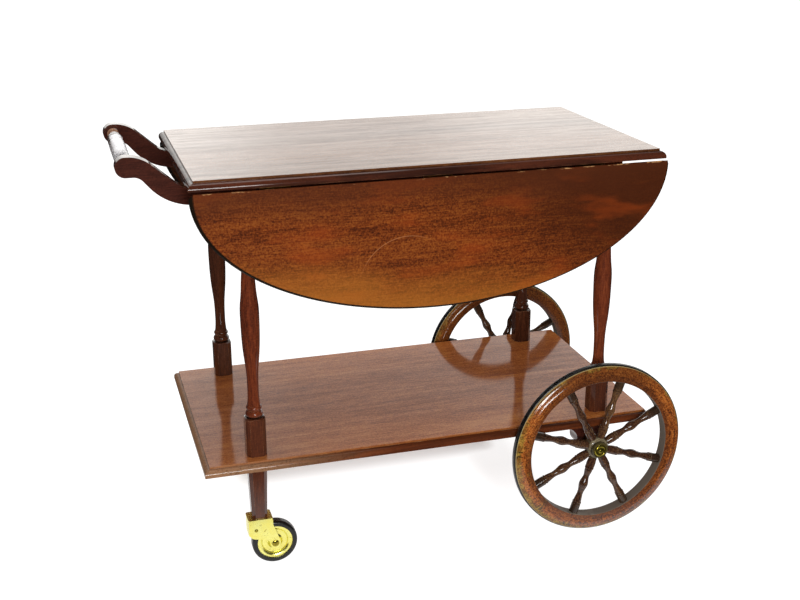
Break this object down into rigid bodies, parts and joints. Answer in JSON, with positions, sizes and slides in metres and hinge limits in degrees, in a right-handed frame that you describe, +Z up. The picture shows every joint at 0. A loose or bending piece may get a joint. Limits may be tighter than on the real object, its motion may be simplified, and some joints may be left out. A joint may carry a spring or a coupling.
{
  "type": "drop leaf tea trolley",
  "caption": "Wooden tea trolley with two hinged drop leaves, a lower shelf, a push handle, large spoked wheels and small swivel casters.",
  "frame": {"origin": "on the floor under the middle of the trolley's own footprint, leaves down", "axes": "+X from the handle towards the large wheels, +Y from the front leaf to the back leaf, +Z up"},
  "size_m": [0.9696, 0.522, 0.7307],
  "materials": {
    "mahogany": "gloss",
    "wheel_wood": "satin",
    "brass": "polished",
    "rubber": "satin",
    "steel": "satin",
    "glass": "polished"
  },
  "bodies": {
    "frame": {"top_board": "mahogany", "front_apron": "mahogany", "back_apron": "mahogany", "handle_end_apron": "mahogany", "wheel_end_apron": "mahogany", "front_handle_leg": "mahogany", "front_wheel_leg": "mahogany", "back_handle_leg": "mahogany", "back_wheel_leg": "mahogany", "shelf_board": "mahogany", "front_lower_leg": "mahogany", "back_lower_leg": "mahogany", "front_axle_block": "mahogany", "back_axle_block": "mahogany", "axle": "steel", "axle_spacers": "brass", "axle_end_washers": "steel", "hinge_top_flaps": "brass", "hinge_pins": "steel", "caster_plates": "brass", "caster_kingpins": "steel", "front_stay_bracket": "brass", "back_stay_bracket": "brass", "front_handle_arm": "mahogany", "back_handle_arm": "mahogany", "handle_bar": "glass", "bar_collars": "mahogany"},
    "front_leaf_flap": {"front_leaf": "mahogany", "front_hinge_leaf_flaps": "brass", "front_leaf_hinge_screws": "brass", "front_stay_leaf_plate": "brass"},
    "front_stay_upper": {"front_stay_arm": "brass"},
    "front_stay_lower": {"front_stay_link": "brass"},
    "front_wheel": {"front_wheel_rim": "wheel_wood", "front_wheel_tyre": "rubber", "front_wheel_hub": "wheel_wood", "front_wheel_spokes": "wheel_wood", "front_wheel_bush": "brass", "front_wheel_cap": "brass"},
    "front_caster": {"front_caster_fork": "brass", "front_caster_bolt": "brass"},
    "front_caster_wheel": {"front_caster_disc": "brass", "front_caster_tyre": "rubber"},
    "back_leaf_flap": {"back_leaf": "mahogany", "back_hinge_leaf_flaps": "brass", "back_leaf_hinge_screws": "brass", "back_stay_leaf_plate": "brass"},
    "back_stay_upper": {"back_stay_arm": "brass"},
    "back_stay_lower": {"back_stay_link": "brass"},
    "back_wheel": {"back_wheel_rim": "wheel_wood", "back_wheel_tyre": "rubber", "back_wheel_hub": "wheel_wood", "back_wheel_spokes": "wheel_wood", "back_wheel_bush": "brass", "back_wheel_cap": "brass"},
    "back_caster": {"back_caster_fork": "brass", "back_caster_bolt": "brass"},
    "back_caster_wheel": {"back_caster_disc": "brass", "back_caster_tyre": "rubber"}
  },
  "joints": [
    {"name": "front_leaf_fold", "type": "hinge", "parent": "frame", "child": "front_leaf_flap", "pos_m": [0.02675, -0.2075, 0.684], "axis": [-1, 0, 0], "range_deg": [0, 90]},
    {"name": "front_stay_foot", "type": "hinge", "parent": "frame", "child": "front_stay_upper", "pos_m": [0.02675, -0.1647, 0.6127], "axis": [-1, 0, 0], "range_deg": [0, 105.25]},
    {"name": "front_stay_knee", "type": "hinge", "parent": "front_stay_upper", "child": "front_stay_lower", "pos_m": [0.02675, -0.15605, 0.54394], "axis": [-1, 0, 0], "range_deg": [-122.33, 0]},
    {"name": "front_wheel_spin", "type": "hinge", "parent": "frame", "child": "front_wheel", "pos_m": [0.32175, -0.2425, 0.163], "axis": [0, 1, 0], "continuous": true},
    {"name": "front_caster_swivel", "type": "hinge", "parent": "frame", "child": "front_caster", "pos_m": [-0.29025, -0.185, 0.088], "axis": [0, 0, 1], "continuous": true},
    {"name": "front_caster_spin", "type": "hinge", "parent": "front_caster", "child": "front_caster_wheel", "pos_m": [-0.26525, -0.185, 0.04], "axis": [0, 1, 0], "continuous": true},
    {"name": "back_leaf_fold", "type": "hinge", "parent": "frame", "child": "back_leaf_flap", "pos_m": [0.02675, 0.2075, 0.684], "axis": [1, 0, 0], "range_deg": [0, 90]},
    {"name": "back_stay_foot", "type": "hinge", "parent": "frame", "child": "back_stay_upper", "pos_m": [0.02675, 0.1647, 0.6127], "axis": [1, 0, 0], "range_deg": [0, 105.25]},
    {"name": "back_stay_knee", "type": "hinge", "parent": "back_stay_upper", "child": "back_stay_lower", "pos_m": [0.02675, 0.15605, 0.54394], "axis": [1, 0, 0], "range_deg": [-122.33, 0]},
    {"name": "back_wheel_spin", "type": "hinge", "parent": "frame", "child": "back_wheel", "pos_m": [0.32175, 0.2425, 0.163], "axis": [0, 1, 0], "continuous": true},
    {"name": "back_caster_swivel", "type": "hinge", "parent": "frame", "child": "back_caster", "pos_m": [-0.29025, 0.185, 0.088], "axis": [0, 0, 1], "continuous": true},
    {"name": "back_caster_spin", "type": "hinge", "parent": "back_caster", "child": "back_caster_wheel", "pos_m": [-0.26525, 0.185, 0.04], "axis": [0, 1, 0], "continuous": true}
  ],
  "couplings": [
    {"joint": "front_stay_foot", "follows": "front_leaf_fold", "ratio": 1.1694},
    {"joint": "front_stay_knee", "follows": "front_leaf_fold", "ratio": -1.3593},
    {"joint": "back_stay_foot", "follows": "back_leaf_fold", "ratio": 1.1694},
    {"joint": "back_stay_knee", "follows": "back_leaf_fold", "ratio": -1.3593}
  ]
}
